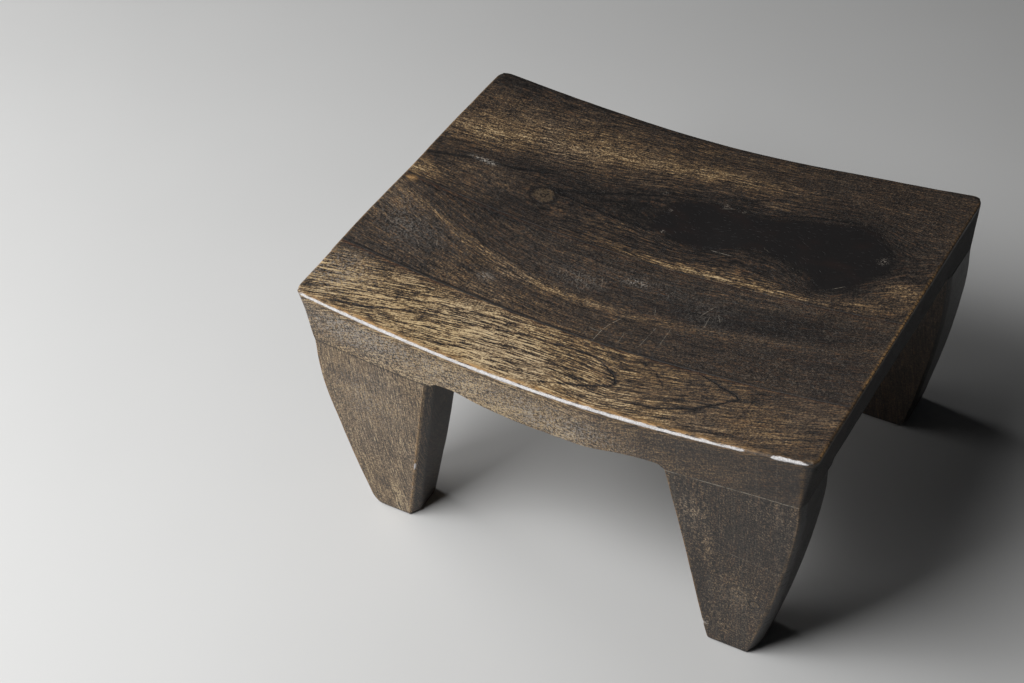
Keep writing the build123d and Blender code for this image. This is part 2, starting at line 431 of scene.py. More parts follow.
REAR_BANDS = [
    (-110, 60, 100, 13, 0.26), (10, 60, 60, 9, 0.12), (-190, 50, 40, 9, 0.1),
    (-150, 78, 60, 6, -0.02), (80, 52, 60, 10, -0.1), (160, 62, 60, 6, 0.06),
    (60, 5, 90, 4, 0.22), (170, 8, 40, 6, 0.08), (-190, 8, 30, 9, 0.26), (-140, 20, 30, 5, 0.08),
    (20, 92, 70, 5, 0.02),
]
REAR_TONES = [
    (-180, 140, 36, 12, -0.12), (-108, 16, 20, 12, -0.12), (-108, 56, 28, 5, -0.14),
    (-50, 52, 40, 13, -0.16), (-100, 36, 40, 10, -0.08), (188, 34, 16, 8, 0.2),
    (64, 94, 9, 7, 0.16), (-158, 33, 24, 6, 0.12), (120, 60, 60, 40, -0.1),
    (195, 82, 10, 18, 0.06), (-100, 118, 90, 14, 0.1), (-180, 80, 24, 24, 0.12),
    (20, 122, 40, 10, 0.09), (60, 108, 50, 9, 0.08), (-30, 66, 16, 14, -0.12),
    (-192, 8, 9, 9, 0.2), (-145, 6, 20, 5, 0.09), (70, 14, 36, 6, 0.1), (40, 5, 24, 3, 0.12),
    (20, 6, 40, 3.5, 0.12), (90, 7, 40, 4, 0.06), (160, 14, 40, 5, 0.06), (-165, 72, 22, 7, 0.11),
    (-150, 88, 30, 6, 0.06), (-115, 88, 50, 10, 0.06), (-150, 108, 50, 9, 0.1),
    (-70, 110, 40, 10, 0.07), (-50, 98, 30, 8, 0.06), (55, 104, 30, 8, 0.1),
    (-172, 64, 12, 4, -0.08), (176, 36, 12, 8, 0.14), (-30, 84, 20, 6, 0.08),
    (-80, 126, 30, 6, 0.06), (0, 141, 220, 4, 0.04),
]

# Dry, hazy patches on the seat, the first three a painted sheen of the light at the left of the
# middle board, then on its front face and the darker places there, by (x, z)
HAZE_AND_SHEEN = [
    (-172, -52, 18, 17, 0.11), (-186, -30, 14, 16, 0.1), (-150, -50, 26, 20, 0.07),
    (8, -22, 8, 3, 0.34), (35, -26, 4, 2.5, 0.12), (-157, 44, 8, 1.6, 1.2), (-90, -66, 6, 4, 0.3),
    (-32, -36, 22, 9, 0.12), (70, -36, 20, 12, 0.06), (-182, -118, 24, 22, 0.24),
    (20, -18, 60, 10, 0.05),
]
FACE_HAZE = [(-145, 186, 38, 12, 0.75), (15, 165, 45, 12, 0.45), (-60, 176, 70, 14, 0.3)]
FACE_DARKS = [(-150, 176, 26, 7, 0.08), (-20, 176, 40, 7, 0.05), (165, 186, 40, 16, 0.05)]

# Where the figure is quiet, by (x, y), and where it is lively all the same, across the grain
QUIET = {
    "front": [(-182, -102, 30, 16, 0.35), (-80, -94, 60, 5, 0.3)],
    "middle": [],
    "rear": [(-190, 110, 90, 50, 0.5), (-60, 110, 60, 30, 0.2), (-135, 26, 55, 26, 0.45),
             (-50, 55, 60, 18, 0.3)],
}
LIVELY = {"front": [], "middle": [(-40, 44, 120, 8, 0.25)], "rear": [(60, 5, 90, 7, 0.4)]}


def board_figure(name, x, y, below):
    """A board's way across the grain, tone, growth lines and way to the big knot, at each point."""
    no_knot = np.full(x.shape, 50.0)
    if name == "front":
        across = y - np.interp(x, *zip(*FRONT_AXIS)) - 0.85 * below
        tone = np.interp(x, *zip(*FRONT_TONE_AND_SHEEN_ALONG)) + spots(x, y, FRONT_TONES)
        return across, tone, to_lines(x, y, FRONT_LINES, 3.0), no_knot
    if name == "middle":
        across = figure(x, y, MIDDLE_GRAIN) + 0.85 * below
        tone = 0.32 + spots(x, across, MIDDLE_BANDS) + spots(x, y, MIDDLE_TONES)
        return across, tone, to_lines(x, y, MIDDLE_LINES, 3.0), no_knot
    across = figure(x, y, REAR_GRAIN) + 0.85 * below
    knot = to_outline(x, y, BIG_KNOT)
    tone = 0.31 + spots(x, across, REAR_BANDS) + spots(x, y, REAR_TONES)
    tone = tone - 0.16 * np.exp(-np.maximum(knot, 0) / 7)
    return across, tone, to_lines(x, y, REAR_LINES, 3.5), knot


def quiet_places(name, x, y, across, face):
    """Where the figure is quiet and only fine scuffs show."""
    everywhere = {"front": 0.0, "middle": 0.52, "rear": 0.15}[name]
    on_right = 0.45 if name == "front" else 0.38
    calm = everywhere + on_right * smooth(x, 40, 130) + spots(x, y, QUIET[name]) + 0.75 * face
    return np.clip(calm - spots(x, across, LIVELY[name]), 0, 0.9)


def worn_and_highlit_edges(x, y, real_y, below, from_end, face):
    """How pale the long near arris is, from wear and a painted highlight of the light on its
    rounding, with one gap, and how rusty the others are.
    """
    near_edge = between(x, (CORNERS[-1, -1][1], CORNERS[1, -1][1])) - HALF_WIDTH
    inward = real_y - near_edge - 0.5
    pale = hump(inward, 0, np.where(inward > 0, 2.0, 1.3)) * hump(below, 0.6, 1.35)
    pale *= (real_y < -136) * np.interp(
        x, [-199, -192, -150, 60, 148, 152, 166, 169, 178, 190, 195],
        [0.0, 0.8, 1.0, 1.0, 0.8, 0.15, 0.15, 1.2, 1.1, 0.8, 0.3])
    # A painted glint of reflected light at the right end, near its front corner
    pale += 1.1 * hump(x, 199, 1.4) * hump(real_y, -124, 3.0) * hump(below, 0, 1.8)
    gold = hump(inward, 1.6, 2.4) * hump(below, 0.8, 2.2) * (real_y < -134)
    gold *= np.interp(x, [-198, -180, 80, 150, 160], [0.2, 1.2, 1.2, 0.7, 0.3])
    rusty = hump(from_end, 0.7, 1.2) * hump(below, 0.7, 1.4) * np.where(x < 0, 0.55, np.interp(
        y, [-140, -136, -128, -120, -70, -60, 50, 70], [0, 1, 1, 0.2, 0.5, 1.1, 0.9, 0.2]))
    # A rust stain near the left end and a worn line on the front face
    rusty += 1.6 * hump(x, -193, 4.0) * hump(y, -4, 2.5) * (below < 3)
    rusty += 0.75 * hump(x, 189.2, 1.3) * face
    return pale, rusty + gold


def grain_fields(points, name, seam, from_end):
    """The smooth fields that a seat board's finish reads, from the ways to its seam and end too."""
    x, real_y, z = points.T
    level = seat_level(x, real_y)
    below = np.maximum(level - z, 0)
    # The figure is laid out on the regular seat and slid over to where the real one lies
    lift = level - seat_arc(x)
    x, y = x - 0.58 * lift, real_y + 1.05 * lift
    across, tone, lines, knot = board_figure(name, x, y, below)
    scratch = to_lines(x, y, SCRATCHES, 2.5)
    face = smooth(-y, 140, 147) * smooth(below, 2.5, 8)
    # Hazy dust, and at the left of the middle board a painted sheen
    haze = spots(x, y, HAZE_AND_SHEEN) * (below < 6) + face * spots(x, z, FACE_HAZE)
    face_tone = np.interp(x, [-200, -100, 60, 100, 200], [-0.08, -0.04, -0.03, -0.10, -0.10])
    face_tone = face_tone * np.interp(z, [160, 176, 186], [0.2, 0.7, 1.0])
    tone = tone + face * (face_tone - spots(x, z, FACE_DARKS))
    # Painted shade on the right end face, which faces away from the light
    tone = tone - 0.16 * (x > 0) * smooth(-from_end, -4.0, -1.0) * smooth(below, 1.5, 4)
    pale, rusty = worn_and_highlit_edges(x, y, real_y, below, from_end, face)
    # How much dirt has settled in each glue line
    dirt = np.where(y < (FRONT_LINE + REAR_LINE) / 2,
                    np.interp(x, [-200, -100, 0, 100, 200], [1.0, 1.0, 0.75, 0.65, 0.5]),
                    np.interp(x, [-200, -120, 0, 200], [0.8, 0.5, 0.3, 0.4]))
    return {
        "across": across, "along": x + 0.15 * z, "tone": tone,
        "calm": quiet_places(name, x, y, across, face),
        "line": lines[0], "line_amount": lines[1],
        "scratch": scratch[0], "scratch_amount": scratch[1] * (below < 6),
        "knot": knot, "haze": haze, "seam": seam, "dirt": dirt * (below < 8),
        "worn_pale": pale, "worn_rust": rusty,
        "end_grain": smooth(-from_end, -3.5, -1.0) * smooth(below, 2, 6),
    }


# ---- seat boards

# Distances from an edge at which a mesh is divided, so that its rounding comes out round
TOP_STEPS = (0, 0.35, 0.85, 1.45, 2.1, 2.8, 3.6, 4.6)
END_STEPS = TOP_STEPS + (6.0, 7.6, 9.4)
LOW_STEPS = (0, 0.3, 0.7, 1.2, 1.8, 2.6)
SEAM_STEPS = (0, 0.25, 0.6, 1.2)
CELL = 1.6               # size of a mesh's cells away from the edges
LAYERS = 30              # rows of vertices from the underside to the top
TOP_CORNER = 9.2         # radius of the seat's corners at the top


def seat_board(name, near, far):
    """One board of the seat between two values of y, as a closed skin."""
    near_steps = END_STEPS if near < -140 else SEAM_STEPS
    far_steps = END_STEPS if far > 140 else SEAM_STEPS
    nx, ny, nz = int(2 * HALF_LENGTH / CELL), int((far - near) / CELL), LAYERS
    i, j, k, faces = shell(nx, ny, nz)
    x = spread(i, nx, 2 * HALF_LENGTH, END_STEPS, END_STEPS) - HALF_LENGTH
    y = near + spread(j, ny, far - near, near_steps, far_steps)
    outer = smooth(np.abs(x), 110, 200)
    x_low = x - np.sign(x) * undercut(x, y) * outer
    top, low = seat_arc(x), underside(x_low, y)
    height = top - low
    up = spread(k, nz, height, LOW_STEPS, TOP_STEPS)
    down = height - up
    inset = np.minimum(HALF_LENGTH - np.abs(x), HALF_WIDTH - np.abs(y))
    on_leg = (np.abs(x_low) > LEG_INNER) & (np.abs(y) > LEG_BACK)
    edge = np.where(y < -100, 3.2, 2.4) + 0.4 * np.sin(x / 37.0 + y / 23.0)
    inset_top, down = rounded(inset, down, edge)
    inset_low, up = rounded(inset, up, np.where(on_leg, 0.3, 1.7))
    inset = np.where(k > nz // 2, inset_top, inset_low)
    z = np.where(k > nz // 2, top - down, low + up)
    part = smooth(top - z, 0, END_THICKNESS)
    lower_corner = np.where(y > 0, 3.0, np.where(x < 0, 1.4, 3.2))
    corner = TOP_CORNER + (lower_corner - TOP_CORNER) * part
    squash = 1 - (1 - CORNER_RATIO) * part
    inset = np.minimum(inset, (HALF_WIDTH - np.abs(y)) * squash)
    x, y = in_plan(x, y * squash, HALF_LENGTH, HALF_WIDTH * squash, corner, 2.0 - 0.7 * part, inset)
    y = y / squash
    # A hair of a groove along each glue line
    seams = [y - line for line in (near, far) if abs(line) < 140]
    seam = min(seams, key=lambda way: np.abs(way).max()) if len(seams) == 1 else np.where(
        np.abs(seams[0]) < np.abs(seams[1]), *seams)
    z = z - 0.22 * np.exp(-(seam / 0.35) ** 2) * (k == nz - 1)
    from_end = HALF_LENGTH - np.abs(x)
    x = x - np.sign(x) * undercut(x, y) * np.clip((top - z) / END_THICKNESS, 0, 1.1) * outer
    points = uneven(hand_made(np.stack([x, y, z], -1)))
    fields = grain_fields(points, name, seam, from_end)
    return make_mesh(f"{name}_seat_board_shaped", points, faces, fields)


# ---- legs

# The outer edge of a regular leg, from the sole up: (height, x)
OUTER_CURVE = [(0, 160.5), (12, 163.9), (25, 167.4), (40, 171.4), (55, 175.2), (70, 178.8),
               (85, 182.0), (100, 184.9), (115, 187.5), (130, 189.8), (142, 191.2), (152, 191.9),
               (170, 192.0)]


# Vertices along a leg's width, depth and height, and where they lie near its edges; those at the
# sole and at the joint are parts of the height
LEG_CELLS = (52, 34, 100)
ARRIS_STEPS = (0, 0.4, 0.9, 1.5, 2.3, 3.2, 4.3, 5.6, 7.0)
SOLE_STEPS = (0, 0.0008, 0.003, 0.0065, 0.011, 0.017, 0.025, 0.034, 0.045)
JOINT_STEPS = (0, 0.001, 0.004, 0.009)


def eased(height, radius):
    """How far a side has drawn in by this height above the sole, on a rounded edge."""
    below = np.clip(radius - height, 0, radius)
    return radius - np.sqrt(radius**2 - below**2)


def leg(name, side_x, side_y, shape):
    """A leg: straight inside, a shoulder and a long shin curve outside, thinner at the foot."""
    nx, ny, nz = LEG_CELLS
    i, j, k, faces = shell(nx, ny, nz)
    rise = spread(k, nz, 1.0, SOLE_STEPS, JOINT_STEPS)
    steps = ARRIS_STEPS
    heights, outs = zip(*OUTER_CURVE)

    def foot_bulk(z):
        return shape["foot_bulk"] * np.clip(1 - z / 120, 0, 1)

    def width_at(z):
        part = np.clip(z / glue_arc(LEG_INNER), 0, 1.05)
        inner = shape["foot_inner"] + (shape["top_inner"] - shape["foot_inner"]) * part
        above = np.clip(z - (glue_arc(LEG_INNER) - COVE + CARVE), 0, COVE - CARVE)
        inner = inner - (COVE - np.sqrt(COVE**2 - above**2))
        outer = np.interp(z, heights, outs)
        blend = np.clip(z / 160, 0, 1)
        top_out = END_UNDERCUT - REAL_UNDERCUT[side_x, side_y]
        outer = outer + shape["foot_out"] * (1 - blend) + top_out * blend
        return inner, outer + foot_bulk(z) + shape["shoulder"] * hump(z, 118, 28)

    top_inner, top_outer = width_at(np.full(i.shape, 160.0))
    at_top = top_inner + spread(i, nx, top_outer - top_inner, steps, steps)
    top = glue_arc(at_top)
    z = rise * top
    inner, outer = width_at(z)
    across = spread(i, nx, outer - inner, steps, steps)
    front = shape["recede"] * np.clip(1 - z / 150, 0, 1) ** 1.5
    depth = np.interp(z, [0, 60, 120, 160], shape["depths"]) - front
    y = front + spread(j, ny, depth, steps, steps)
    half_x, half_y = (outer - inner) / 2, depth / 2
    lx, ly = across - half_x, y - front - half_y
    # lx grows outwards, ly grows to the back of the leg
    front_ease = np.where(lx > 0, shape["outer_front"] + foot_bulk(z), shape["inner_front"])
    ease = np.where(ly < 0, front_ease, 2.2)
    power = np.where((ly < 0) & (lx > 0), 1.3, 1.12)
    squash = np.where((ly < 0) & (lx < 0), shape["inner_ratio"], CORNER_RATIO)
    inset = np.minimum(half_x - np.abs(lx), (half_y - np.abs(ly)) * squash)
    lx, ly = in_plan(lx, ly * squash, half_x, half_y * squash, ease, power, inset)
    ly = ly / squash
    sole = np.where(lx > 0, shape["outer_sole"], 3.0)
    joint = eased(top - z, 0.3)
    lx = lx * (1 - (eased(z, sole) + joint) / half_x)
    ly = ly * (1 - (eased(z, 2.4) + joint) / half_y)
    x = side_x * (inner + half_x + lx)
    y = side_y * (HALF_WIDTH - (front + half_y + ly))
    if side_x * side_y > 0:
        faces = faces[:, ::-1]
    points = uneven(hand_made(np.stack([x, y, z], -1)))
    # Across the long side from the two front arrises, and down from the joint
    edges = (half_x - np.abs(lx)) - ease
    fields = leg_fields(points, edges, lx > 0, half_y + ly, top - z, shape)
    return make_mesh(name + "_shaped", points, faces, fields)


def leg_fields(points, edges, outward, behind, under_joint, shape):
    """The smooth fields that a leg's finish reads; behind is the way back from its long side."""
    x, y, z = points.T
    u, v = np.abs(x), np.abs(y)
    across = u + (z - 80) * shape["grain_lean"] - 0.45 * (HALF_WIDTH - v)
    across = across + 3.0 * np.sin(z / 31.0 + shape["seed"])
    front = 1 - smooth(behind, 0.3, 1.3)
    at_joint = under_joint < 4
    inner_line = shape["top_inner"] + (shape["foot_inner"] - shape["top_inner"]) * (1 - z / 160)
    # Painted shade on the side that faces under the stool, away from the light, and deeper shade
    # still on the left legs' inner side
    inward = smooth(inner_line + 9 - u, 0, 5) * smooth(behind, 0.8, 2.0)
    tone = shape["tone"] + front * spots(u, z, shape["spots"]) - inward * shape["dim"]
    tone = tone - 0.16 * smooth(inner_line + 2.5 - u, 0, 2) * smooth(behind, 5, 8) * (x < 0)
    # Painted shade on the right legs' outer side, away from the light
    tone = tone - 0.28 * outward * (edges < -0.5) * (x > 0)
    arris = hump(edges, 0.1, 0.9) * (v > 138)
    rust = np.where(outward, np.interp(z, [8, 20, 60, 150, 160], shape["outer_wear"]),
                    np.interp(z, [8, 20, 75, 120, 160], shape["inner_wear"]))
    nicks = sum(amount * hump(z, height, reach) for height, reach, amount in shape["nicks"])
    # White chalk left in the joint takes the place of the scratches there
    chalk = np.interp(u, *zip(*shape["chalk"])) * front
    scratch = to_lines(u, z, shape["scratches"], 2.5)
    nothing, nowhere = np.zeros(x.shape), np.full(x.shape, 50.0)
    return {
        "across": across, "along": z, "tone": tone, "calm": nothing + shape["calm"],
        "line": nowhere, "line_amount": nothing,
        "scratch": np.where(at_joint, (under_joint - 0.5) * 0.75, scratch[0]),
        "scratch_amount": np.where(at_joint, chalk, scratch[1] * front),
        "knot": nowhere, "haze": front * spots(u, z, shape["haze"]),
        "seam": under_joint + 0.4, "dirt": nothing + shape["joint_dirt"],
        "worn_pale": arris * ~outward * nicks, "worn_rust": arris * rust,
        "end_grain": smooth(-z, -3, -1),
    }


# How each leg was carved and worn. foot_out is how far its outer edge stands out at the foot,
# recede how far its front stands back at the sole, and depths are at heights 0, 60, 120 and 160.
# Wear is at the heights in leg_fields, spots, haze and scratches by (x, z), chalk by x, and nicks
# by (z, reach, amount)
PLAIN_LEG = dict(
    foot_out=0.0, foot_bulk=0.0, shoulder=0.0, outer_sole=7.0, inner_ratio=0.5, outer_front=3.0,
    inner_front=3.0, grain_lean=-0.10, dim=0.1, contrast=0.75)
LEG_SHAPES = {
    "front_left": dict(
        PLAIN_LEG, side=(-1, -1), seed=2.0, top_inner=89.0, foot_inner=124.4, foot_out=0.9,
        recede=3.0, outer_sole=10.0, depths=(35, 41, 43.5, 44.0), inner_ratio=0.72, shoulder=1.8,
        outer_front=1.4, inner_front=5.6, tone=0.70, dim=0.28, calm=0.45, contrast=1.0,
        joint_dirt=0.6, outer_wear=(0.2, 0.8, 0.9, 0.8, 0.5), inner_wear=(0.4, 0.9, 1.0, 0.5, 0.2),
        spots=[(137, 22, 4, 18, 0.20), (105, 60, 12, 60, -0.02), (150, 120, 20, 30, 0.03),
               (160, 45, 9, 26, 0.05), (150, 140, 40, 5, -0.05)],
        haze=[(150, 120, 30, 30, 0.25)], chalk=[(90, 0), (200, 0)],
        scratches=[(0.4, [(172, 75), (170, 73)])], nicks=[(63, 4.5, 1.3), (36, 3, 0.7)]),
    "front_right": dict(
        PLAIN_LEG, side=(1, -1), seed=7.3, top_inner=93.2, foot_inner=126.0, foot_out=-0.6,
        recede=-2.0, foot_bulk=3.0, outer_sole=4.0, depths=(36, 42, 45, 46.5), inner_ratio=0.42,
        outer_front=3.2, inner_front=1.2, tone=0.37, calm=0.95, contrast=1.65,
        joint_dirt=0.3, outer_wear=(0.2, 0.4, 0.35, 0.3, 0.3), inner_wear=(0.3, 0.6, 0.6, 0.6, 0.5),
        spots=[(112, 128, 8, 12, 0.18), (124, 98, 5, 20, 0.14), (150, 60, 13, 11, 0.14),
               (140, 24, 9, 9, 0.12), (117, 60, 7, 40, -0.08), (165, 150, 24, 8, 0.02),
               (172, 118, 12, 18, -0.07), (144, 120, 14, 20, -0.06), (176, 80, 8, 16, -0.04)],
        haze=[(125, 17, 2, 3, 0.7), (163, 15, 2, 5, 0.5), (150, 54, 16, 13, 0.12),
              (112, 128, 12, 20, 0.05)],
        chalk=[(90, 1.8), (100, 1.8), (103, 0.7), (115, 0.7), (118, 1.8), (140, 1.8), (142, 1.0),
               (150, 1.8), (188, 1.7), (191, 0)],
        scratches=[(0.5, [(137, 99), (158, 98), (176, 95)])], nicks=[(17, 4, 0.9)]),
    "rear_left": dict(
        PLAIN_LEG, side=(-1, 1), seed=12.9, top_inner=95.0, foot_inner=128.5, recede=1.5,
        depths=(38, 43, 46, 46.5), shoulder=0.5, tone=0.52, calm=0.5,
        joint_dirt=0.5, outer_wear=(0.3, 0.6, 0.7, 0.5, 0.3), inner_wear=(0.3, 0.5, 0.6, 0.4, 0.2),
        spots=[(150, 90, 20, 30, 0.08)], haze=[(150, 150, 30, 10, 0.3)], chalk=[(90, 0), (200, 0)],
        scratches=[(0.4, [(140, 100), (150, 96)])], nicks=[(90, 20, 0.3)]),
    "rear_right": dict(
        PLAIN_LEG, side=(1, 1), seed=17.1, top_inner=95.0, foot_inner=131.0, foot_out=12.0,
        recede=1.0, depths=(40, 44, 46, 46.5), grain_lean=0.08, tone=0.42, calm=0.6,
        joint_dirt=0.4, outer_wear=(0.3, 0.5, 0.5, 0.4, 0.3), inner_wear=(0.3, 0.5, 0.5, 0.4, 0.2),
        spots=[(140, 70, 16, 40, 0.06)], haze=[(150, 40, 20, 20, 0.2)],
        chalk=[(90, 0), (120, 0.4), (200, 0.3)],
        scratches=[(0.4, [(150, 60), (156, 70)])], nicks=[(60, 12, 0.3)]),
}


# ---- finishes

class Wire:
    """A socket of a finish; arithmetic written with it adds the nodes that work it out."""

    def __init__(self, finish, socket):
        self.finish, self.socket = finish, socket

    def math(self, operation, *values):
        return self.finish.node("Math", {"operation": operation}, dict(enumerate(values)))

    def __add__(self, other):
        return self.math("ADD", self, other)

    def __sub__(self, other):
        return self.math("SUBTRACT", self, other)

    def __rsub__(self, other):
        return self.math("SUBTRACT", other, self)

    def __mul__(self, other):
        return self.math("MULTIPLY", self, other)

    def __truediv__(self, other):
        return self.math("DIVIDE", self, other)

    def __pow__(self, other):
        return self.math("POWER", self, other)

    def __abs__(self):
        return self.math("ABSOLUTE", self)

    __radd__ = __add__
    __rmul__ = __mul__

    def step(self, low, high):
        """0 below low and 1 above high, or the other way round where low is the larger."""
        return self.finish.node("MapRange", {"interpolation_type": "SMOOTHSTEP"},
                                {"Value": self, "From Min": low, "From Max": high})

    def within(self, low=0.0, high=1.0):
        return self.math("MINIMUM", self.math("MAXIMUM", self, low), high)

    def by_line(self, low, high):
        """1 within low of the line where this is zero, fading to 0 at high."""
        return 1 - abs(self).step(low, high)


class Finish:
    """A material under construction."""

    def __init__(self, name):
        self.material = bpy.data.materials.new(name)
        self.material.use_nodes = True
        self.tree = self.material.node_tree
        self.shader = self.tree.nodes["Principled BSDF"]

    def node(self, kind, settings=None, sockets=None, output=0):
        node = self.tree.nodes.new("ShaderNode" + kind)
        for key, value in (settings or {}).items():
            if key == "stops":
                ramp = node.color_ramp.elements
                while len(ramp) < len(value):
                    ramp.new(0.5)
                for element, (place, colour) in zip(ramp, value):
                    element.position, element.color = place, colour
            else:
                setattr(node, key, value)
        for key, value in (sockets or {}).items():
            if isinstance(value, Wire):
                self.tree.links.new(value.socket, node.inputs[key])
            else:
                node.inputs[key].default_value = value
        return Wire(self, node.outputs[output])

    def field(self, name):
        return self.node("Attribute", {"attribute_name": name}, output="Fac")

    def vector(self, x, y, z):
        return self.node("CombineXYZ", sockets={"X": x, "Y": y, "Z": z})

    def noise(self, vector, scale=1.0, detail=2.0, rough=0.55):
        return self.node("TexNoise", sockets={
            "Vector": vector, "Scale": scale, "Detail": detail, "Roughness": rough})

    def scaled(self, vector, x, y, z):
        return self.node("VectorMath", {"operation": "MULTIPLY"}, {0: vector, 1: (x, y, z)})

    def length(self, vector):
        return self.node("VectorMath", {"operation": "LENGTH"}, {0: vector}, output="Value")

    def mix(self, factor, first, second):
        return self.node("Mix", {"data_type": "RGBA"}, {0: factor, 6: first, 7: second}, output=2)

    def finish(self, colour, roughness, height, bump_distance=0.0004, bump_strength=0.6):
        normal = self.node("Bump", sockets={"Height": height, "Distance": bump_distance,
                                            "Strength": bump_strength}, output="Normal")
        for key, wire in (("Base Color", colour), ("Roughness", roughness), ("Normal", normal)):
            self.tree.links.new(wire.socket, self.shader.inputs[key])
        return self.material


def tint(red, green, blue):
    """A colour given as 0 to 255 on the screen, as the shader wants it."""
    def linear(value):
        value /= 255
        return value / 12.92 if value <= 0.04045 else ((value + 0.055) / 1.055) ** 2.4
    return linear(red), linear(green), linear(blue), 1.0


STAIN = [(0.00, tint(22, 20, 20)), (0.16, tint(36, 32, 30)), (0.30, tint(53, 45, 39)),
         (0.44, tint(77, 63, 50)), (0.58, tint(104, 84, 61)), (0.74, tint(138, 113, 80)),
         (0.90, tint(176, 149, 108)), (1.00, tint(206, 182, 140))]
WARM_FIBRE, WORN_GOLD = tint(136, 88, 50), tint(182, 142, 92)
KNOT_BLACK, KNOT_RED, KNOT_RIM = tint(31, 29, 29), tint(40, 31, 29), tint(24, 21, 20)
PIN_KNOT, PIN_OUTLINE = tint(118, 100, 76), tint(32, 28, 26)
DUST_AND_SHEEN, SCUFF, SCRATCH, GLINT_HIGHLIGHT = (tint(178, 170, 160), tint(150, 140, 126), tint(168, 158, 142),
                               tint(170, 160, 148))
SEAM_RED, SEAM_DIRT = tint(84, 52, 36), tint(26, 23, 22)
BARE_AND_HIGHLIGHT_GREY, BARE_AND_HIGHLIGHT_WHITE = tint(198, 195, 195), tint(230, 229, 230)


def stained_wood(name, seed, contrast=1.0, banding=1.0, ring_knots=(), greyer=0.0, painted_glints=(),
                 fading=0.0):
    """Dark stain over figured wood, rubbed through where the seat and its edges are used, with a
    painted highlight, painted sheen and painted glints on it.
    """
    make = Finish(name)
    place = make.node("TexCoord", output="Object")
    parts = make.node("SeparateXYZ", sockets={0: place})
    x, y, z = (Wire(make, parts.socket.node.outputs[axis]) * 1000 for axis in range(3))
    spot = make.node("VectorMath", {"operation": "SCALE"}, {0: place, "Scale": 1000.0})
    across, along = make.field("across"), make.field("along")
    tone, haze, calm = make.field("tone"), make.field("haze"), make.field("calm")

    def grain(along_scale, across_scale, offset, detail=3.0, rough=0.55):
        """Noise drawn out along the grain."""
        return make.noise(make.vector(along * along_scale, across * across_scale, seed + offset),
                          detail=detail, rough=rough)

    def speckles(scale, detail=2.0, rough=0.55):
        """Noise that is the same in every direction."""
        return make.noise(spot, scale=scale, detail=detail, rough=rough)

    across = across + (grain(0.03, 0.06, 0.0, detail=2.0) - 0.5) * 3.0
    bands = grain(0.005, 0.11, 3.0)
    streaks = grain(0.045, 0.75, 7.0, rough=0.6)
    fibres = grain(0.085, 1.35, 11.0, rough=0.7)
    flecks = grain(0.25, 1.1, 17.0, detail=2.0, rough=0.65)
    dashes = grain(0.055, 1.2, 41.0, detail=4.0, rough=0.62)
    ripple = grain(0.30, 0.16, 37.0, rough=0.6)
    pores = grain(0.2, 3.3, 23.0, detail=1.0)
    veins = grain(0.028, 0.55, 31.0, detail=2.0, rough=0.6)
    chatter = speckles(0.7, detail=3.0, rough=0.7)
    grit = speckles(0.75, detail=3.0, rough=0.75)
    clouds = speckles(0.035)

    light = tone + (bands - 0.5) * 0.40 * banding + (clouds - 0.5) * 0.10
    gain = (light * 1.15 + 0.12).within(0.12, 1.2) * (contrast - x * fading)
    vein = (1 - abs(veins - 0.5) * 9).within(0, 1) ** 2
    lively = gain * (1 - calm * 0.8)
    light = light + (streaks - 0.5) * lively * 1.2 + (fibres - 0.5) * lively * 1.7
    light = light + (flecks - 0.5) * lively * 1.1 + (grit - 0.5) * gain * (calm * 1.3 + 1.3)
    light = light + (ripple - 0.5) * gain * 0.30 + (chatter - 0.5) * gain * calm * 0.9
    cracks = (0.46 - dashes).within(0, 0.14) * lively * (flecks * 1.2 + 0.4)
    light = light - cracks * 5.0 + (dashes - 0.54).within(0, 0.15) * lively * 1.8
    light = light - vein * lively * 0.25 - pores.step(0.60, 0.70) * gain * 0.2

    # Dark growth lines drawn along the figure
    line = make.field("line") + (speckles(0.15, detail=3.0) - 0.5) * 2.2
    line_amount = make.field("line_amount") * (0.5 + streaks)
    core = line.by_line(0.10, 0.75) * line_amount
    light = light - core * 0.46 - line.by_line(0.3, 2.4) * line_amount * 0.25

    warm = make.node("ValToRGB", {"stops": STAIN}, {"Fac": light})
    grey = make.node("HueSaturation", sockets={"Saturation": 0.6, "Color": warm})
    greyness = (speckles(0.02, detail=1.0) - 0.45).within(0, 0.5) + greyer + calm * 0.18
    colour = make.mix(greyness.within(0, 1), warm, grey)

    # Warm brown glimpses where the light streaks are strongest
    glimpses = ((streaks + flecks) * 2.2 - 2.35).within(0, 1) * (light * 2).within(0, 1)
    colour = make.mix(glimpses * 0.45, colour, WARM_FIBRE)

    # The big dark knot: almost black, with a breath of dark red in it and a crisp rim
    knot = make.field("knot") + (speckles(0.09, detail=4.0) - 0.5) * 9.0
    in_knot = 1 - knot.step(-4.0, 3.0)
    red = make.noise(make.vector(x * 0.03, y * 0.06, seed))
    rim = (knot - 0.4).by_line(0.3, 1.8) * red.step(0.45, 0.6) * 0.5
    colour = make.mix(in_knot, colour, make.mix(red.step(0.50, 0.80) * 0.7, KNOT_BLACK, KNOT_RED))
    colour = make.mix(rim * 0.65, colour, KNOT_RIM)
    relief = rim * -0.4

    # Pin knots: a dark outline, a paler ring and a small eye
    for cx, cy, size, strength, plane in ring_knots:
        b = y if plane == "top" else z
        radial = make.length(make.vector((x - cx) / (size * 1.15), (b - cy) / size, 0.0))
        radial = radial + (speckles(0.22, detail=3.0) - 0.5) * 0.75
        outline = (radial - 1.0).by_line(0.04, max(0.24, 0.9 / size)) * (0.4 + grit) * strength
        ring = (radial - 0.5).by_line(0.15, 0.45) * grit.step(0.35, 0.6) * strength * 0.4
        colour = make.mix(ring.within(0, 1), colour, PIN_KNOT)
        colour = make.mix(outline.within(0, 1), colour, PIN_OUTLINE)
        relief = relief - outline * 0.5
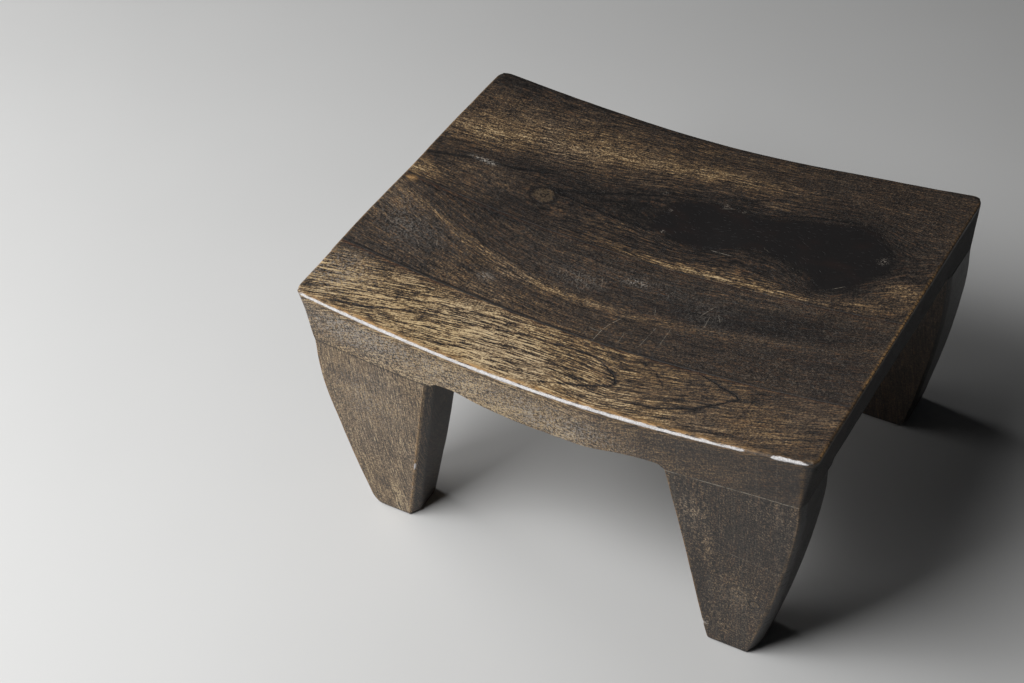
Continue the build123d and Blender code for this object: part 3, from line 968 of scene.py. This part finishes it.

    # Dry, hazy patches with a painted sheen among them, fine pale scratches and a few painted
    # glints of reflected light
    speckle = speckles(0.95, detail=3.0, rough=0.75)
    scuffs = make.noise(make.vector(x * 1.1 + y * 0.6 + z * 0.3, y * 0.25 - x * 0.3 + z, seed),
                        detail=3.0, rough=0.7)
    hair = make.noise(make.vector(x * 0.17 + y * 0.12, y * 0.06 - x * 0.04 + z * 0.15, seed))
    stroke = make.noise(make.vector(x * 0.05 - y * 0.06, y * 0.17 + x * 0.11, seed + 5.0))
    hairs = (1 - abs(hair - 0.5) * 60).within(0, 1) + (1 - abs(stroke - 0.5) * 60).within(0, 1)
    hairs = hairs.within(0, 1) * chatter.step(0.42, 0.58)
    chalky = (speckles(0.62, rough=0.7) * 0.75 + scuffs * 0.25).step(0.49, 0.59)
    dust_and_sheen = (haze * (chalky * 1.6 + hairs)).within(0, 0.75)
    colour = make.mix(dust_and_sheen, colour, DUST_AND_SHEEN)
    colour = make.mix(hairs * calm * (1 - in_knot) * 0.22, colour, SCUFF)
    cut = make.field("scratch").by_line(0.1, 0.42) * make.field("scratch_amount")
    cut = cut * speckles(0.6).step(0.3, 0.55)
    colour = make.mix(cut * 0.6, colour, SCRATCH)
    for cx, cy, size in painted_glints:
        away = make.length(make.vector(x - cx, y - cy, 0.0))
        bits = (1 - away.step(size * 0.4, size * 1.3)) * speckle.step(0.53, 0.62)
        colour = make.mix((bits * 0.62).within(0, 1), colour, GLINT_HIGHLIGHT)

    # Glue lines, with dirt settled in them and the stain reddish beside them
    seam, dirt = make.field("seam"), make.field("dirt")
    reddish = (seam + 1.4).by_line(0.5, 1.6) * dirt * fibres.step(0.35, 0.6) * 0.6
    colour = make.mix(reddish, colour, SEAM_RED)
    wobble = (speckles(0.12) - 0.5) * 1.2
    groove = (seam - dirt * 0.9 + wobble).by_line(0.7, 2.0) * dirt * (0.8 + streaks * 0.5)
    colour = make.mix(groove.within(0, 0.88), colour, SEAM_DIRT)

    # Edges worn golden or rusty, and the near arris in front pale, partly from wear and partly a
    # painted highlight of the light on its rounding
    pale = make.field("worn_pale")
    chips = make.noise(make.vector(x * 0.12, y * 0.6, z * 0.6), detail=5.0, rough=0.75)
    bare_and_highlight = ((pale - 0.50) * 4.5 + (chips - 0.5) * 6).within(0, 1) * pale.step(0.10, 0.40)
    rusty = (make.field("worn_rust") * ((chips - 0.42) * 6).within(0, 1)).within(0, 0.9)
    colour = make.mix(rusty, colour, WORN_GOLD)
    colour = make.mix(bare_and_highlight * 0.92, colour, make.mix(speckle.step(0.4, 0.6), BARE_AND_HIGHLIGHT_GREY, BARE_AND_HIGHLIGHT_WHITE))

    end_grain = make.field("end_grain")
    speckled = speckles(1.0, detail=4.0, rough=0.75)
    end_colour = make.node("ValToRGB", {"stops": STAIN}, {
        "Fac": tone * 0.62 + (speckled - 0.5) * 0.55 + (bands - 0.5) * 0.22})
    colour = make.mix(end_grain * 0.96, colour, end_colour)

    roughness = 0.46 + (clouds - 0.5) * 0.12 + (grit - 0.5) * 0.14 + dust_and_sheen * 0.25
    roughness = roughness + pores.step(0.6, 0.72) * 0.1 - in_knot * 0.06 + end_grain * 0.3
    height = fibres * 0.35 + streaks * 0.25 - pores.step(0.60, 0.72) * 0.5 + relief - cut * 0.8
    height = height - core * 0.6 + grit * 0.1
    return make.finish(colour, roughness.within(0.25, 0.9), height)


def bare_dowel():
    """Turned beech, left unfinished, with its grain along the rod and darker rays."""
    make = Finish("bare_dowel_wood")
    place = make.node("TexCoord", output="Object")
    grain = make.noise(make.scaled(place, 900.0, 900.0, 60.0), detail=3.0, rough=0.6)
    rays = make.noise(make.scaled(place, 2500.0, 2500.0, 500.0), detail=1.0).step(0.62, 0.72)
    colour = make.mix(grain, tint(196, 160, 116), tint(222, 190, 148))
    colour = make.mix(rays * 0.5, colour, tint(150, 108, 70))
    return make.finish(colour, grain * 0.15 + 0.55, grain - rays * 0.3)


# Painted glints of reflected light on the rear board, by (x, y, size)
PAINTED_GLINTS = [(-18, 76, 2.2), (0, 36, 2.2), (30, 81, 2.5), (45, 79, 2.0), (160, 59, 4.6), (-6, 60, 2.0)]
BOARD_FADING = 0.0015   # the figure of two boards is stronger at their left end
BOARDS = {
    "front": (-HALF_WIDTH, FRONT_LINE, stained_wood(
        "front_board_stained_wood", 1.3, 1.3, 0.45, fading=BOARD_FADING)),
    "middle": (FRONT_LINE, REAR_LINE, stained_wood(
        "middle_board_stained_wood", 21.7, 1.25, 0.75, fading=BOARD_FADING)),
    "rear": (REAR_LINE, HALF_WIDTH, stained_wood(
        "rear_board_stained_wood", 43.1, 1.32, 0.75, painted_glints=PAINTED_GLINTS,
        ring_knots=[(-98, 31, 9.0, 1.05, "top"), (-98, 31, 1.6, 0.9, "top")])),
}
for board_name, (near_side, far_side, wood) in BOARDS.items():
    board = seat_board(board_name, near_side, far_side)
    board.data.materials.append(wood)
    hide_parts(f"{board_name}_seat_board")
    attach(board, "root")

LEG_KNOTS = [(161, 56, 3.6, 1.7, "face"), (150.5, 62.5, 1.2, 1.8, "face"),
             (150, 62, 8.0, 0.6, "face")]
for leg_name, leg_shape in LEG_SHAPES.items():
    knots = LEG_KNOTS if leg_name == "front_right" else ()
    wood = stained_wood(f"{leg_name}_leg_stained_wood", leg_shape["seed"] * 5.0,
                        leg_shape["contrast"], 0.4, ring_knots=knots, greyer=0.2)
    stool_leg = leg(f"{leg_name}_leg", *leg_shape["side"], leg_shape)
    stool_leg.data.materials.append(wood)
    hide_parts(f"{leg_name}_leg")
    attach(stool_leg, "root")

dowel_wood = bare_dowel()
for node_name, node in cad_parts.items():
    if node_name.endswith("_dowel"):
        node.data.materials.clear()
        node.data.materials.append(dowel_wood)

# ---- floor, light and camera

floor_mesh = bpy.data.meshes.new("painted_floor")
floor_mesh.from_pydata([(-6, -6, 0), (6, -6, 0), (6, 6, 0), (-6, 6, 0)], [], [(0, 1, 2, 3)])
floor = bpy.data.objects.new("painted_floor", floor_mesh)
bpy.context.scene.collection.objects.link(floor)
paint = Finish("pale_floor_paint")
mottle = paint.noise(paint.node("TexCoord", output="Object"), scale=3.0, detail=3.0)
paint_colour = paint.mix(mottle, tint(206, 206, 205), tint(212, 212, 211))
floor_mesh.materials.append(paint.finish(paint_colour, mottle * 0.1 + 0.55, mottle, 0.0001, 0.2))


def soft_lamp(name, place, target, width, height, power):
    lamp = bpy.data.lights.new(name, "AREA")
    lamp.shape, lamp.size, lamp.size_y, lamp.energy = "RECTANGLE", width, height, power
    holder = bpy.data.objects.new(name, lamp)
    holder.location = place
    aim = Vector(target) - Vector(place)
    holder.rotation_mode = "QUATERNION"
    holder.rotation_quaternion = aim.to_track_quat("-Z", "Y")
    bpy.context.scene.collection.objects.link(holder)


soft_lamp("high_window", (-0.456, -0.730, 1.229), (0, 0, 0), 0.75, 0.75, 16.8)
soft_lamp("wide_window", (-1.60, -0.30, 0.90), (0, 0, 0.06), 1.6, 1.0, 18.0)

world = bpy.data.worlds.new("room_light")
world.use_nodes = True
world.node_tree.nodes["Background"].inputs["Color"].default_value = (0.9, 0.93, 1.0, 1)
world.node_tree.nodes["Background"].inputs["Strength"].default_value = 0.010
bpy.context.scene.world = world

LENS_PIXELS, PICTURE_WIDTH, SENSOR = 1750.5, 1024, 36.0
YAW, PITCH, ROLL = radians(34.505), radians(42.754), radians(-5.634)
right = Vector((cos(YAW), sin(YAW), 0))
level = Vector((-sin(YAW), cos(YAW), 0))
ahead = level * cos(PITCH) - Vector((0, 0, sin(PITCH)))
down = -level * sin(PITCH) - Vector((0, 0, cos(PITCH)))
image_right = right * cos(ROLL) - down * sin(ROLL)
image_down = right * sin(ROLL) + down * cos(ROLL)
camera = bpy.data.objects.new("camera", bpy.data.cameras.new("camera"))
camera.data.sensor_width = SENSOR
camera.data.lens = LENS_PIXELS / PICTURE_WIDTH * SENSOR
camera.matrix_world = Matrix.Translation(Vector((462.7, -845.2, 1013.4)) * MM) @ Matrix(
    (image_right, -image_down, -ahead)).transposed().to_4x4()
bpy.context.scene.collection.objects.link(camera)
bpy.context.scene.camera = camera
bpy.context.scene.view_settings.view_transform = "Standard"
